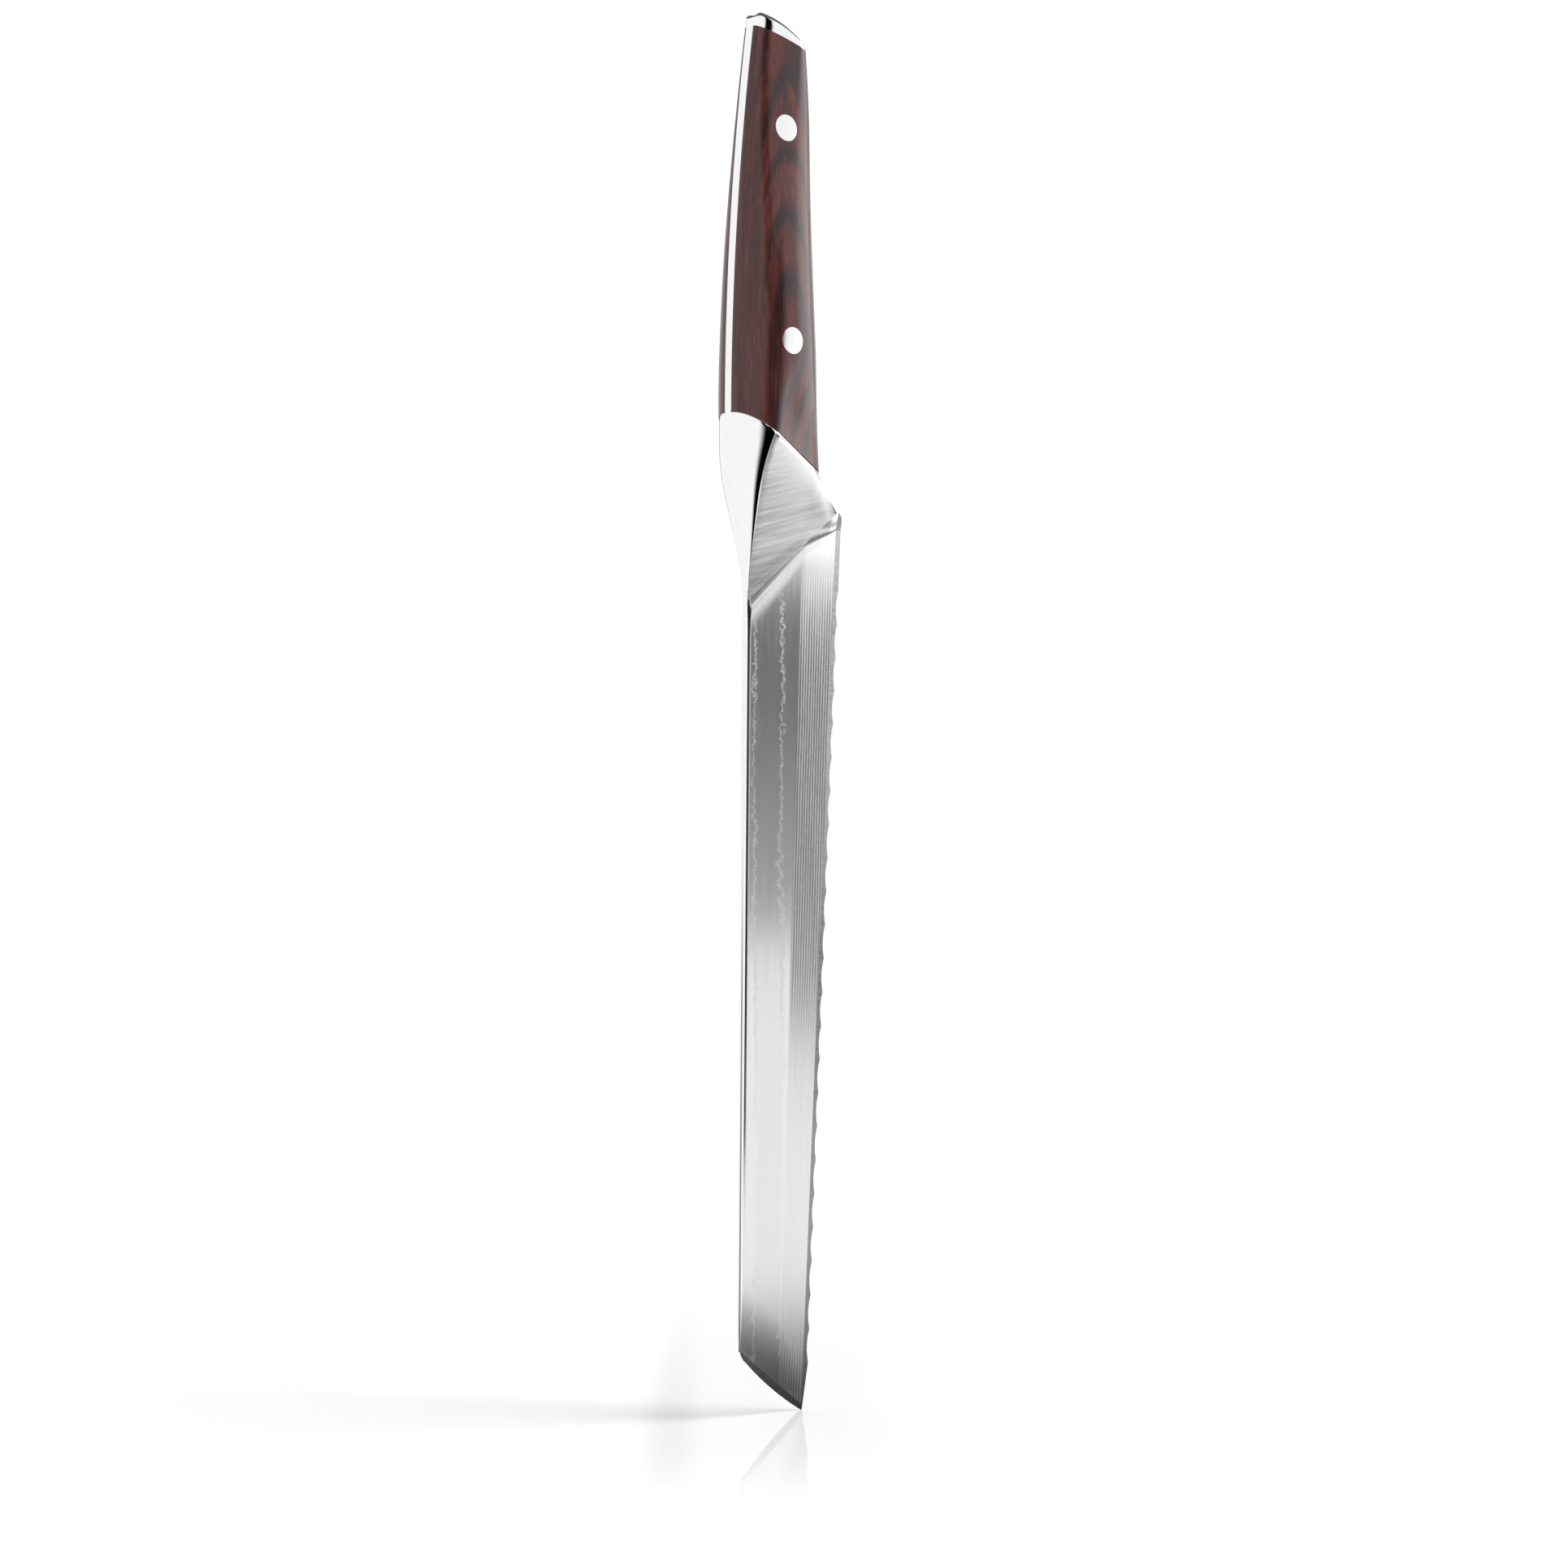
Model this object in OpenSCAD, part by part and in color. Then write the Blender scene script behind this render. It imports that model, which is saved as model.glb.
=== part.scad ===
// Bread knife: laminated full-tang blade, welded bolster cheeks and end cap,
// two bonded wooden scales held by cutlery rivets.
// The knife stands on its tip: Z runs from tip to butt, X from spine to cutting edge,
// Y across the thickness. The origin is under the middle of the outline, at the tip.

/* [Blade] */
// Height of the butt end's shoulder above the tip, the length of the whole tang and blade
plate_length = 374.3; // [368:0.5:378]
// Height of the point where the bolster facets run out at the spine
shoulder_height = 219.7; // [216:0.5:222]
// Distance of the cutting edge from the spine line at the tip's last tooth
edge_reach_tip = 22.2; // [21:0.1:23]
// How much the cutting edge moves away from the spine line per millimetre of height
edge_flare = 0.052; // [0.045:0.001:0.056]
// Half thickness of the plate at the tip
plate_half_tip = 0.98; // [0.9:0.02:1.1]
// Growth of the half thickness per millimetre of height
plate_taper = 0.00126; // [0.00116:0.0001:0.00126]
// Thickness of the hard core steel between the two claddings
core_thickness = 0.68; // [0.6:0.02:0.8]
// Share of the blade's height that stays flat before the long bevel starts
flat_share = 0.55; // [0.5:0.01:0.6]

/* [Serrated edge] */
// Number of scallops
scallop_count = 23; // [20:1:23]
// Distance from one tooth to the next
scallop_pitch = 9.17; // [8.6:0.01:9.18]
// How deep a scallop lies behind the teeth
scallop_depth = 0.9; // [0.7:0.05:0.9]
// Angle between the grinding wheel's axis and the blade's face normal
scallop_tilt = 69; // [66:1:69]
// Height of the lowest tooth above the tip
last_tooth_height = 12.2; // [11.5:0.1:13]
// Width of the steep edge bevel behind the teeth
edge_bevel = 2; // [1.6:0.1:2.4]

/* [Handle] */
// Thickest half thickness of the handle
grip_half = 10; // [9.5:0.1:10.5]
// Half thickness of the handle at the butt
butt_half = 5; // [4.6:0.1:5.6]
// Distance of the handle's belly from the spine line near the butt
belly_reach = 20.3; // [19.8:0.1:20.8]
// How far the handle's back drops behind the blade's spine line
back_drop = 5.8; // [5.4:0.1:6.2]
// Radius of the long curve of the handle's back
back_radius = 770; // [720:10:820]
// Thickness of the adhesive layer between tang and scale
bond_thickness = 0.1; // [0.08:0.01:0.15]
// Height of the end cap where it is fullest
cap_height = 4.3; // [4:0.05:4.6]

/* [Rivets] */
// Head diameter
rivet_head = 7.3; // [6.8:0.1:7.8]
// Outer diameter of the sleeve, and of its hole through the tang
rivet_sleeve = 5; // [4.6:0.1:5.4]
// Diameter of the pin pressed into the sleeve
rivet_pin = 3; // [2.6:0.1:3.4]
// Height of the rivet next to the bolster
front_rivet_height = 289.4; // [287:0.5:292]
// Height of the rivet next to the butt
rear_rivet_height = 347.1; // [345:0.5:350]

/* [Hidden] */
big = 500;
plate_block = 4;

// --- the knife's outline, seen from the side -------------------------------------------------
tip = [19.8, 0];
tip_corner = [-1.5, 16.4];
tip_corner_radius = 5;
tip_lead_height = 60;
tip_bulge = 0.8;
tip_steps = 12;
corner_steps = 8;
spine_lean = 0.0092;
bolster_rise_start = 222;
bolster_rise_end = 260;
back_start = 266.4;
belly_flare = 3.3;
belly_flare_start = 332;
butt_tuck = 2;
butt_tuck_start = 345;
front_belly = [23.6, 254.6];
heel_radius = 1.6;

// The boundary between bolster and wood, and the one between wood and cap: slopes in the outline
front_height = 269.9;
front_slope = (front_height - front_belly.y) / (front_belly.x + back_drop);
cap_slope = 0.32;

function ease(t) = let (u = min(1, max(0, t))) u * u * (3 - 2 * u);
function mix(a, b, t) = a + (b - a) * t;

// Half thickness of the laminated plate
function plate_half(z) = plate_half_tip + plate_taper * z;

// The spine side of the outline: blade, bolster, then the long back of the handle
function spine_x(z) =
    z < shoulder_height ? -spine_lean * (shoulder_height - z)
    : z < back_start
        ? -back_drop * ease((z - bolster_rise_start) / (bolster_rise_end - bolster_rise_start))
    : -back_drop + pow(z - back_start, 2) / (2 * back_radius);

// The belly side of the handle
function belly_x(z) = belly_reach
    + belly_flare * pow(max(0, (belly_flare_start - z) / (belly_flare_start - front_belly.y)), 2)
    - butt_tuck * pow(max(0, (z - butt_tuck_start) / (plate_length - butt_tuck_start)), 2);

// The line through the tooth tips
function edge_x(z) = edge_reach_tip + (z - last_tooth_height) * edge_flare;

// Points of an arc that replaces the corner b of the path a, b, c
function round_corner(a, b, c, radius, steps) =
    let (
        to_a = (a - b) / norm(a - b),
        to_c = (c - b) / norm(c - b),
        half = acos(to_a * to_c) / 2,
        bisector = (to_a + to_c) / norm(to_a + to_c),
        centre = b + bisector * radius / sin(half),
        start = b + to_a * radius / tan(half) - centre,
        finish = b + to_c * radius / tan(half) - centre,
        first = atan2(start.y, start.x),
        turn = atan2(start.x * finish.y - start.y * finish.x, start * finish)
    )
    [for (i = [0 : steps]) centre + radius * [cos(first + turn * i / steps), sin(first + turn * i / steps)]];

// Points between a and b on a curve that stands out by bulge on its right-hand side
function bulged(a, b, bulge, steps) =
    let (side = [b.y - a.y, a.x - b.x] / norm(b - a))
    [for (i = [1 : steps - 1]) mix(a, b, i / steps) + side * bulge * 4 * (i / steps) * (1 - i / steps)];

heel = let (
        sum = front_belly.x + front_belly.y,
        x = (edge_x(0) + edge_flare * sum) / (1 + edge_flare)
    ) [x, sum - x];
last_tooth = [edge_x(last_tooth_height), last_tooth_height];
heel_points = round_corner(last_tooth, heel, front_belly, heel_radius, corner_steps);
corner_points = round_corner([spine_x(tip_lead_height), tip_lead_height],
    tip_corner, tip, tip_corner_radius, corner_steps);
tip_points = bulged(corner_points[corner_steps], tip, tip_bulge, tip_steps);

// Where an inclined ring starting at height z on the spine meets the belly
function ring_belly(z, slope) =
    let (
        s = spine_x(z),
        first = belly_x(z - slope * (belly_reach - s)),
        second = belly_x(z - slope * (first - s)),
        x = belly_x(z - slope * (second - s))
    ) [x, z - slope * (x - s)];

cap_belly = ring_belly(plate_length, cap_slope);
spine_steps = 44;
belly_steps = 30;
spine_points = [for (i = [0 : spine_steps])
    let (z = mix(plate_length, bolster_rise_start, i / spine_steps)) [spine_x(z), z]];
belly_points = [for (i = [0 : belly_steps])
    let (z = mix(front_belly.y, cap_belly.y, i / belly_steps)) [belly_x(z), z]];
outline = concat([tip, last_tooth], heel_points, belly_points, spine_points,
    [[spine_x(shoulder_height), shoulder_height]], corner_points, tip_points);

x_middle = (max([for (p = outline) p.x]) + min([for (p = outline) p.x])) / 2;

// --- planes that grind the plate -------------------------------------------------------------
// Each is [a, b, c]: half thickness = a + b * x + c * z
taper_plane = [plate_half_tip, 0, plate_taper];
core_half = core_thickness / 2;

// Facet of the bolster: through its run-out at the spine, its top corner and the heel
facet_top = [4.1, 9.4, 265.5];
facet_heel = [34, 0.2, 240.9];
facet_foot = [0, plate_half(shoulder_height), shoulder_height];
function plane_through(p, q, r) =
    let (n = cross(q - p, r - p)) [n * p / n.y, -n.x / n.y, -n.z / n.y];
function plane_at(plane, x, z) = plane[0] + plane[1] * x + plane[2] * z;
facet_plane = plane_through(facet_top, facet_heel, facet_foot);

// The blade's faces are ground a little below the tang's, up to the foot of the bolster
face_grind = 0.03;
face_plane = taper_plane - [face_grind, 0, 0];

bevel_top_height = 212;
function bevel_start(z) = mix(spine_x(z), edge_x(z), flat_share);
bevel_plane = plane_through(
    [bevel_start(bevel_top_height), plate_half(bevel_top_height), bevel_top_height],
    [edge_x(bevel_top_height) - edge_bevel, core_half, bevel_top_height],
    [edge_x(last_tooth_height) - edge_bevel, core_half, last_tooth_height]);

tooth_half = 0.06;
edge_plane = plane_through(
    [edge_x(bevel_top_height) - edge_bevel, core_half, bevel_top_height],
    [edge_x(bevel_top_height), tooth_half, bevel_top_height],
    [edge_x(last_tooth_height), tooth_half, last_tooth_height]);

// The point is ground thin towards its curved lower edge
point_bevel = 9;
point_half = 0.22;
point_along = (tip - tip_corner) / norm(tip - tip_corner);
point_inward = [-point_along.y, point_along.x];
point_plane = plane_through(
    [tip.x, point_half, tip.y],
    [tip_corner.x, point_half, tip_corner.y],
    [tip.x + point_inward.x * point_bevel, plate_half_tip, tip.y + point_inward.y * point_bevel]);

// Everything on the +Y side of a plane
module beyond(plane) {
    normal = [-plane[1], 1, -plane[2]];
    translate([0, plane[0], 0])
        rotate([0, acos(normal.z / norm(normal)), atan2(normal.y, normal.x)])
            translate([-big, -big, 0])
                cube([2 * big, 2 * big, big]);
}

// What grinding takes off the right-hand side of the plate
module ground_off() {
    intersection() {
        beyond(face_plane);
        beyond(facet_plane);
    }
    intersection() {
        beyond(bevel_plane);
        beyond(facet_plane);
    }
    intersection() {
        beyond(edge_plane);
        beyond(facet_plane);
    }
    beyond(point_plane);
}

module both_sides() {
    children();
    mirror([0, 1, 0]) children();
}

// A slab with an outline in x and z, between two values of y
module slab(points, low, high) {
    translate([0, high, 0])
        rotate([90, 0, 0])
            linear_extrude(height = high - low)
                polygon(points);
}

// The scallops, ground from the right-hand side by a tilted wheel
tooth_land = 0.5;
wheel_sagitta = scallop_depth * cos(scallop_tilt);
wheel_half_cut = (scallop_pitch - tooth_land) / 2;
wheel_radius = (pow(wheel_half_cut, 2) + pow(wheel_sagitta, 2)) / (2 * wheel_sagitta);
wheel_length = 30;
wheel_facets = 180;
module scallops() {
    for (i = [0 : scallop_count - 1]) {
        z = last_tooth_height + (i + 0.5) * scallop_pitch;
        translate([edge_x(z) - scallop_depth, -tooth_half, z])
            rotate([0, 0, scallop_tilt - 90])
                translate([0, wheel_radius, 0])
                    rotate([0, 90, 0])
                        cylinder(r = wheel_radius, h = wheel_length, center = true, $fn = wheel_facets);
    }
}

rivet_places = [
    [8.65, front_rivet_height],
    [9.6, rear_rivet_height]
];

// A cylinder across the handle at a rivet, between two values of y
rivet_facets = 48;
module across(place, diameter, low, high) {
    translate([place.x, high, place.y])
        rotate([90, 0, 0])
            cylinder(d = diameter, h = high - low, $fn = rivet_facets);
}

module tang_holes() {
    for (place = rivet_places)
        across(place, rivet_sleeve, -plate_block, plate_block);
}

module blade_core() {
    color("lightslategray")
        translate([-x_middle, 0, 0])
            difference() {
                slab(outline, -core_half, core_half);
                both_sides() ground_off();
                scallops();
                tang_holes();
            }
}

module cladding() {
    difference() {
        slab(outline, core_half, plate_block);
        beyond(taper_plane);
        ground_off();
        tang_holes();
    }
}

module cladding_right() {
    color("silver")
        translate([-x_middle, 0, 0])
            cladding();
}

module cladding_left() {
    color("silver")
        translate([-x_middle, 0, 0])
            mirror([0, 1, 0]) cladding();
}

// --- sections of bolster, scales and cap -----------------------------------------------------
// A section is a row of [distance from the spine, share of the half thickness] points
spine_power = 2.1;
belly_power = 2.4;
ridge_distance = 13;
round_steps = 12;
flank_steps = 12;
wedge_crease = 9.9;
wedge_belly_radius = 3.2;
wedge_low = 0.5;

// Half thickness of the handle at a height: fullest at the peak, thin at the butt
grip_peak_height = 285;
grip_fall_length = 90;
grip_front_fall = 0.65;
grip_front_length = 23;
function grip_at(z) = z > grip_peak_height
    ? mix(grip_half, butt_half, ease((z - grip_peak_height) / grip_fall_length))
    : grip_half - grip_front_fall * pow((grip_peak_height - z) / grip_front_length, 2);

// From the spine round to the ridge
function round_part(ridge, power) =
    [for (i = [0 : round_steps])
        let (a = 90 * i / round_steps)
            [ridge * (1 - pow(cos(a), 2 / power)), pow(sin(a), 2 / power)]];

// From the ridge to the belly, evenly rounded
function full_flank(ridge, width, power) =
    [for (i = [1 : flank_steps])
        let (a = 90 * i / flank_steps)
            [ridge + (width - ridge) * pow(sin(a), 2 / power), pow(cos(a), 2 / power)]];

// From the ridge to the belly, nearly straight and then rounded by radius
function flat_flank(ridge, width, low, radius) =
    let (straight = flank_steps / 2)
    [for (i = [1 : flank_steps])
        let (
            t = min(1, i / straight),
            a = 90 * max(0, i - straight) / straight
        )
            i <= straight
                ? [mix(ridge, width - radius, t), mix(1, low, t)]
                : [width - radius + radius * sin(a), low * cos(a)]];

// Section of the handle; wedge is 1 next to the bolster, where the flank runs down to wedge_low
function handle_section(width, wedge) =
    let (
        ridge = mix(ridge_distance, wedge_crease, wedge),
        full = concat(round_part(ridge, spine_power), full_flank(ridge, width, belly_power)),
        flat = concat(
            round_part(ridge, spine_power),
            flat_flank(ridge, width, wedge_low, wedge_belly_radius))
    )
    [for (i = [0 : round_steps + flank_steps]) mix(full[i], flat[i], wedge)];

// Rings of the handle from the bolster to the cap; t runs from 0 to 1
wedge_length = 0.3;
handle_rings = 26;
function handle_ring(t, lift) =
    let (
        z = mix(front_height, plate_length, t),
        slope = mix(front_slope, cap_slope, t),
        width = ring_belly(z, slope).x - spine_x(z),
        section = handle_section(width, 1 - ease(t / wedge_length)),
        peak = grip_at(z - slope * ridge_distance)
    )
    [for (p = section)
        let (
            height = z - slope * p.x,
            base = plate_half(height) + lift
        )
            [spine_x(z) + p.x, base + (peak - base) * p.y, height]];

// A solid between rings whose first and last points lie on a flat inner face
module ring_solid(rings) {
    rows = len(rings);
    columns = len(rings[0]);
    points = [for (ring = rings) each ring];
    skin = [for (r = [0 : rows - 2], c = [0 : columns - 2])
        let (a = r * columns + c)
            each [[a, a + 1, a + columns + 1], [a, a + columns + 1, a + columns]]];
    first_face = [for (c = [0 : columns - 1]) columns - 1 - c];
    last_face = [for (c = [0 : columns - 1]) (rows - 1) * columns + c];
    inner = concat(
        [for (r = [0 : rows - 1]) r * columns],
        [for (r = [rows - 1 : -1 : 0]) r * columns + columns - 1]);
    polyhedron(
        points = points,
        faces = concat(skin, [first_face, last_face, inner]),
        convexity = 6);
}

// One side of the handle, from the adhesive layer out
module handle_side(lift) {
    ring_solid([for (i = [0 : handle_rings]) handle_ring(i / handle_rings, lift)]);
}

head_seat = 3.2;
function head_floor(place) = plate_half(place.y) + bond_thickness + head_seat;

module scale_side() {
    difference() {
        handle_side(bond_thickness);
        for (place = rivet_places) {
            across(place, rivet_sleeve, 0, plate_block + head_seat);
            across(place, rivet_head, head_floor(place), 3 * grip_half);
        }
    }
}

module scale_right() {
    color("saddlebrown")
        translate([-x_middle, 0, 0])
            scale_side();
}

module scale_left() {
    color("saddlebrown")
        translate([-x_middle, 0, 0])
            mirror([0, 1, 0]) scale_side();
}

// The adhesive fills the gap between tang and scale over the whole inner face
module bond_side() {
    inner = [for (i = [0 : handle_rings]) handle_ring(i / handle_rings, 0)];
    last = len(inner[0]) - 1;
    loop = concat(
        [for (ring = inner) [ring[0].x, ring[0].z]],
        [for (i = [handle_rings : -1 : 0]) [inner[i][last].x, inner[i][last].z]]);
    difference() {
        intersection() {
            slab(loop, 0, plate_block);
            beyond(taper_plane);
        }
        beyond(taper_plane + [bond_thickness, 0, 0]);
        tang_holes();
    }
}

module bond_right() {
    color("dimgray")
        translate([-x_middle, 0, 0])
            bond_side();
}

module bond_left() {
    color("dimgray")
        translate([-x_middle, 0, 0])
            mirror([0, 1, 0]) bond_side();
}

// --- bolster cheeks --------------------------------------------------------------------------
// Rows fan out from the wood's boundary to the line where the facet meets the plate
cheek_rows = 26;
cheek_crease_end = 0.45;
cheek_crease_low = 0.35;
cheek_crease_travel = 3.8;
cheek_edge_radius = 1.2;
cheek_edge_end = 0.33;
function foot_height(x) =
    (plate_half_tip - facet_plane[0] - facet_plane[1] * x) / (facet_plane[2] - plate_taper);
cheek_heel_x = let (rise = foot_height(1) - foot_height(0))
    (front_belly.x + front_belly.y - foot_height(0)) / (1 + rise);

function cheek_row(t) =
    let (
        foot_spine = foot_height(0),
        z = mix(front_height, foot_spine, t),
        heel_x = mix(front_belly.x, cheek_heel_x, t),
        heel_z = front_belly.x + front_belly.y - heel_x,
        width = heel_x - spine_x(z),
        slope = (z - heel_z) / width,
        crease_x = cheek_crease_low + cheek_crease_travel * pow(max(0, 1 - t / cheek_crease_end), 2),
        crease = crease_x - spine_x(z),
        radius = mix(wedge_belly_radius, cheek_edge_radius, min(1, t / cheek_edge_end)),
        power = mix(spine_power, 2, t),
        peak = plane_at(facet_plane, crease_x, z - slope * crease),
        low_x = heel_x - radius,
        section = concat(round_part(crease, power), flat_flank(crease, width, 1, radius))
    )
    [for (i = [0 : len(section) - 1])
        let (
            p = section[i],
            x = spine_x(z) + p.x,
            height = z - slope * p.x,
            base = plate_half(height),
            reach = i < round_steps ? peak : plane_at(facet_plane, min(x, low_x), height)
        )
            [x, t == 1 ? base : base + max(0, reach - base) * p.y, height]];

module cheek_side() {
    ring_solid([for (i = [cheek_rows : -1 : 0]) cheek_row(i / cheek_rows)]);
}

module bolster_right() {
    color("gainsboro")
        translate([-x_middle, 0, 0])
            cheek_side();
}

module bolster_left() {
    color("gainsboro")
        translate([-x_middle, 0, 0])
            mirror([0, 1, 0]) cheek_side();
}

// --- end cap ---------------------------------------------------------------------------------
cap_round = 1.6;
cap_round_steps = 6;
cap_spine_radius = 0.9;
cap_belly_low = 0.5;
cap_fall_power = 3;
cap_fall_shape = 0.75;
cap_lean = (plate_length - back_start) / back_radius;

// How far a rounded corner lies below the flat top at a distance from the side
function corner_drop(distance, radius) =
    let (inside = radius - min(radius, max(0, distance)))
    radius - sqrt(pow(radius, 2) - pow(inside, 2));

// Height of the cap over its sloping base: rounded at the spine, falling in an arch to the belly
function cap_tall(s, width) = max(cap_belly_low,
    (cap_height - corner_drop(s, cap_spine_radius))
        * pow(1 - pow(min(1, s / width), cap_fall_power), cap_fall_shape));

module end_cap() {
    base = handle_ring(1, bond_thickness);
    columns = len(base);
    spine = spine_x(plate_length);
    width = base[columns - 1].x - spine;
    // The closed outline: right-hand side, then back along the left-hand side
    loop = concat(base, [for (i = [columns - 1 : -1 : 0]) [base[i].x, -base[i].y, base[i].z]]);
    count = len(loop);
    // [height share, inset] of each layer, with a rounded upper edge
    layers = concat([[0, 0]], [for (i = [0 : cap_round_steps])
        let (a = 90 * i / cap_round_steps)
            [1 - cap_round / cap_height * (1 - sin(a)), cap_round * (1 - cos(a))]]);
    rows = len(layers);
    points = [for (layer = layers, p = loop)
        let (
            s = p.x - spine,
            tall = cap_tall(s, width),
            along = width / 2 + (s - width / 2) * (1 - 2 * layer[1] / width),
            lean = cap_lean * tall * layer[0] * (1 - 2 * s / width),
            thick = p.y * (1 - layer[1] / grip_at(plate_length))
        )
            [spine + along + lean, thick, plate_length - cap_slope * along + tall * layer[0]]];
    lid = (rows - 1) * count;
    color("gainsboro")
        translate([-x_middle, 0, 0])
            polyhedron(
                points = points,
                faces = concat(
                    [[for (i = [0 : count - 1]) count - 1 - i]],
                    [for (r = [0 : rows - 2], c = [0 : count - 1])
                        let (
                            a = r * count + c,
                            b = r * count + (c + 1) % count
                        )
                            each [[a, b, b + count], [a, b + count, a + count]]],
                    [for (c = [0 : columns - 2])
                        let (
                            a = lid + c,
                            b = lid + count - 1 - c
                        )
                            each [[a, a + 1, b - 1], [a, b - 1, b]]]),
                convexity = 4);
}

// --- rivets ----------------------------------------------------------------------------------
// The head is flush with the wood
module rivet_head_part(place) {
    intersection() {
        handle_side(bond_thickness);
        across(place, rivet_head, head_floor(place), 3 * grip_half);
    }
}

sleeve_gap = 0.6;

module rivet_sleeve_part(place) {
    color("white")
        translate([-x_middle, 0, 0]) {
            difference() {
                union() {
                    mirror([0, 1, 0]) rivet_head_part(place);
                    across(place, rivet_sleeve, -head_floor(place), head_floor(place) - sleeve_gap);
                }
                across(place, rivet_pin, -head_floor(place), head_floor(place));
            }
        }
}

module rivet_pin_part(place) {
    color("white")
        translate([-x_middle, 0, 0])
            union() {
                rivet_head_part(place);
                across(place, rivet_pin, -head_floor(place) + sleeve_gap, head_floor(place));
            }
}

module front_rivet_sleeve() { rivet_sleeve_part(rivet_places[0]); }
module front_rivet_pin() { rivet_pin_part(rivet_places[0]); }
module rear_rivet_sleeve() { rivet_sleeve_part(rivet_places[1]); }
module rear_rivet_pin() { rivet_pin_part(rivet_places[1]); }

blade_core();
cladding_left();
cladding_right();
bolster_left();
bolster_right();
end_cap();
scale_left();
scale_right();
bond_left();
bond_right();
front_rivet_sleeve();
front_rivet_pin();
rear_rivet_sleeve();
rear_rivet_pin();
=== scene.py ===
"""Visual model of a bread knife that stands on its tip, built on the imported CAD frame."""
import math

import bmesh
import bpy
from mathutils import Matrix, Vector


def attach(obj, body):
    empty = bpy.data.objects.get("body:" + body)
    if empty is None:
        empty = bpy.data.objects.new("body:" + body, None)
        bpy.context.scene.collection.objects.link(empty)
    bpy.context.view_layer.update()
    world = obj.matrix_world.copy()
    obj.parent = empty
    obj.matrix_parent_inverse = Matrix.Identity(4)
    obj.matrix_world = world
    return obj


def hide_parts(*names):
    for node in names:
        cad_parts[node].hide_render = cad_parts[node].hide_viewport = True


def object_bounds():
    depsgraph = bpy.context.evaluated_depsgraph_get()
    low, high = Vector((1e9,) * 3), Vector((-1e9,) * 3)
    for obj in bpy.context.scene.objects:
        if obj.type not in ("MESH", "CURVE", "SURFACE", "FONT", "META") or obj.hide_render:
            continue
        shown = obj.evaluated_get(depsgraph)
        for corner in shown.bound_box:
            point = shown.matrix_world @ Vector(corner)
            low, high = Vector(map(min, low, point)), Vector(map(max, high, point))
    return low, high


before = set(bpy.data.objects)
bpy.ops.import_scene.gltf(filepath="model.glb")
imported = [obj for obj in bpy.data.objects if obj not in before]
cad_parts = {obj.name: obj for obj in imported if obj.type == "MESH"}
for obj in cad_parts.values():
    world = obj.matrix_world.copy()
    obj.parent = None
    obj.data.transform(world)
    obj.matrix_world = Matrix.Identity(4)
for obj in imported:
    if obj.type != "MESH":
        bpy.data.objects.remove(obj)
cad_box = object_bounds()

MM = 0.001

# --- the knife's dimensions in millimetres, X from the spine line, Z up from the tip ------------
PLATE_LENGTH = 374.3
SHOULDER = 219.7
SPINE_LEAN = 0.0092
EDGE_REACH = 22.2
EDGE_FLARE = 0.052
LAST_TOOTH = 12.2
PLATE_HALF_TIP = 0.98
PLATE_TAPER = 0.00126
FACE_GRIND = 0.03
CORE_HALF = 0.34
FLAT_SHARE = 0.55
EDGE_BEVEL = 2.0
BACK_DROP = 5.8
BACK_RADIUS = 770.0
BACK_START = 266.4
RISE_START, RISE_END = 222.0, 260.0
BELLY_REACH, BELLY_FLARE, FLARE_START = 20.3, 3.3, 332.0
BUTT_TUCK, TUCK_START = 2.0, 345.0
FRONT_BELLY = (23.6, 254.6)
FRONT_HEIGHT = 269.9
FRONT_SLOPE = (FRONT_HEIGHT - FRONT_BELLY[1]) / (FRONT_BELLY[0] + BACK_DROP)
CAP_SLOPE = 0.32
BOND = 0.1
GRIP_HALF, BUTT_HALF = 10.0, 5.0
GRIP_PEAK, GRIP_FALL = 285.0, 90.0
FRONT_FALL, FRONT_FALL_LENGTH = 0.65, 23.0
RIDGE, WEDGE_CREASE = 13.0, 9.9
SPINE_POWER, BELLY_POWER = 2.1, 2.4
WEDGE_LOW, WEDGE_RADIUS, WEDGE_LENGTH = 0.5, 3.2, 0.3
TIP = (19.8, 0.0)
TIP_CORNER = (-1.5, 16.4)
POINT_BEVEL, POINT_HALF, POINT_BLEND = 9.0, 0.22, 0.5
CAP_HEIGHT, CAP_ROUND, CAP_SPINE_RADIUS, CAP_LOW = 4.3, 1.6, 0.9, 0.5
CAP_FALL_POWER, CAP_FALL_SHAPE = 3.0, 0.75
RIVET_HEAD, RIVET_SLEEVE, RIVET_PIN = 3.65, 2.5, 1.5
HEAD_SEAT = 3.2
SLEEVE_GAP = 0.6
RIVETS = {"front": (8.65, 289.4), "rear": (9.6, 347.1)}
UNDERCUT = 0.5

# Rounds of the searches for a place on the belly, on the right edge and on the handle
BELLY_ROUNDS, MEET_ROUNDS, RING_ROUNDS = 3, 12, 30

X_MIDDLE = -BACK_DROP - cad_box[0].x / MM
HEEL_SUM = FRONT_BELLY[0] + FRONT_BELLY[1]


def ease(t):
    u = min(1.0, max(0.0, t))
    return u * u * (3 - 2 * u)


def mix(a, b, t):
    return a + (b - a) * t


def smooth_min(a, b, k):
    """The smaller of two values, rounded where they differ by less than k."""
    h = max(k - abs(a - b), 0.0) / k
    return min(a, b) - h * h * k / 4


def steps(low, high, count):
    return [mix(low, high, i / count) for i in range(count + 1)]


def banded(bands):
    """Places from bands of (from, to, count), where each band starts at the end of the last one."""
    places = [bands[0][0]]
    for low, high, count in bands:
        places += steps(low, high, count)[1:]
    return places


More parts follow.
